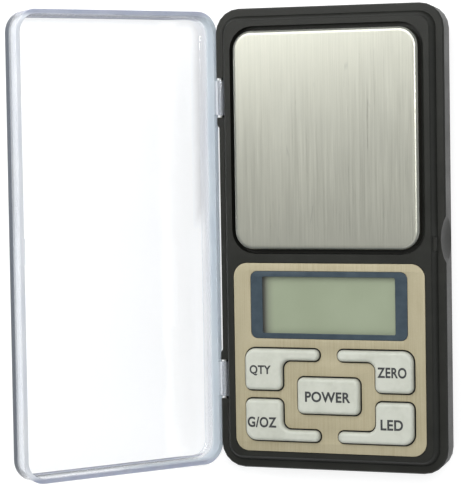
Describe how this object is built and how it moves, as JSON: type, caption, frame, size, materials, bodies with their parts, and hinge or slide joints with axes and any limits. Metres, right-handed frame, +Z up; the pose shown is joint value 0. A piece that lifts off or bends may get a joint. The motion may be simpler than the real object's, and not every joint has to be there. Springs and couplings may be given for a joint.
{
  "type": "digital gram scale",
  "caption": "Pocket gram scale with a brushed steel platform, a keypad with a small display, and a clear cover hinged along one long side.",
  "frame": {"origin": "under the middle of the case, on the plane that the feet stand on", "axes": "+Z up out of the platform, +Y along the case from the keypad to the platform, +X away from the cover's hinge"},
  "size_m": [0.1006, 0.12, 0.0623],
  "materials": {
    "case_plastic": "fine matt texture, warm black",
    "clear_plastic": "clear, polished, faint blue edges",
    "steel": "plain bright steel",
    "platform_steel": "brushed along the length",
    "panel_paint": "satin champagne, finely brushed",
    "surround_print": "glossy slate blue",
    "lcd_glass": "grey-green liquid crystal display",
    "backlight": "white diffuser",
    "connector_rubber": "striped contact rubber",
    "circuit_board": "green solder resist",
    "chip": "moulded black",
    "mat_rubber": "translucent grey",
    "key_rubber": "smooth pale grey",
    "inner_plastic": "plain dark grey",
    "load_cell_alloy": "milled",
    "wire_sleeve": "red sleeve",
    "cell_jacket": "plain blue jacket",
    "foot_rubber": "matt black"
  },
  "bodies": {
    "case": {"bottom_case": "case_plastic", "top_case": "case_plastic", "hinge_pin_upper": "steel", "hinge_pin_lower": "steel", "keypad_panel": "panel_paint", "display_surround": "surround_print", "lcd_glass": "lcd_glass", "lcd_backlight": "backlight", "lcd_connector_strip": "connector_rubber", "circuit_board": "circuit_board", "controller_chip": "chip", "key_mat": "mat_rubber", "load_cell": "load_cell_alloy", "load_cell_spacer": "inner_plastic", "load_cell_wires": "wire_sleeve", "battery_cell_1": "cell_jacket", "battery_cell_2": "cell_jacket", "battery_spring_1": "steel", "battery_spring_2": "steel", "battery_contact_upper": "steel", "battery_contact_lower": "steel", "board_screw_1": "steel", "load_cell_screw_1": "steel", "board_screw_2": "steel", "load_cell_screw_2": "steel", "case_screw_1": "steel", "foot_1": "foot_rubber", "case_screw_2": "steel", "foot_2": "foot_rubber", "case_screw_3": "steel", "foot_3": "foot_rubber", "case_screw_4": "steel", "foot_4": "foot_rubber"},
    "cover": {"cover": "clear_plastic"},
    "platform": {"platform": "platform_steel", "platform_carrier": "inner_plastic", "platform_screw_1": "steel", "platform_screw_2": "steel"},
    "battery_door": {"battery_door": "case_plastic"},
    "pieces_key": {"pieces_key": "key_rubber"},
    "tare_key": {"tare_key": "key_rubber"},
    "power_key": {"power_key": "key_rubber"},
    "units_key": {"units_key": "key_rubber"},
    "light_key": {"light_key": "key_rubber"}
  },
  "joints": [
    {"name": "cover_hinge", "type": "hinge", "parent": "case", "child": "cover", "pos_m": [-0.0302, 0, 0.0124], "axis": [0, 1, 0], "range_deg": [0, 123]},
    {"name": "platform_travel", "type": "slide", "parent": "case", "child": "platform", "axis": [0, 0, -1], "range_m": [0, 0.0005], "stiffness_N_per_m": 12000},
    {"name": "battery_door_slide", "type": "slide", "parent": "case", "child": "battery_door", "axis": [0, -1, 0], "range_m": [0, 0.04]},
    {"name": "pieces_key_press", "type": "slide", "parent": "case", "child": "pieces_key", "axis": [0, 0, -1], "range_m": [0, 0.0005], "stiffness_N_per_m": 1500, "springref_m": -0.0003},
    {"name": "tare_key_press", "type": "slide", "parent": "case", "child": "tare_key", "axis": [0, 0, -1], "range_m": [0, 0.0005], "stiffness_N_per_m": 1500, "springref_m": -0.0003},
    {"name": "power_key_press", "type": "slide", "parent": "case", "child": "power_key", "axis": [0, 0, -1], "range_m": [0, 0.0005], "stiffness_N_per_m": 1500, "springref_m": -0.0003},
    {"name": "units_key_press", "type": "slide", "parent": "case", "child": "units_key", "axis": [0, 0, -1], "range_m": [0, 0.0005], "stiffness_N_per_m": 1500, "springref_m": -0.0003},
    {"name": "light_key_press", "type": "slide", "parent": "case", "child": "light_key", "axis": [0, 0, -1], "range_m": [0, 0.0005], "stiffness_N_per_m": 1500, "springref_m": -0.0003}
  ]
}
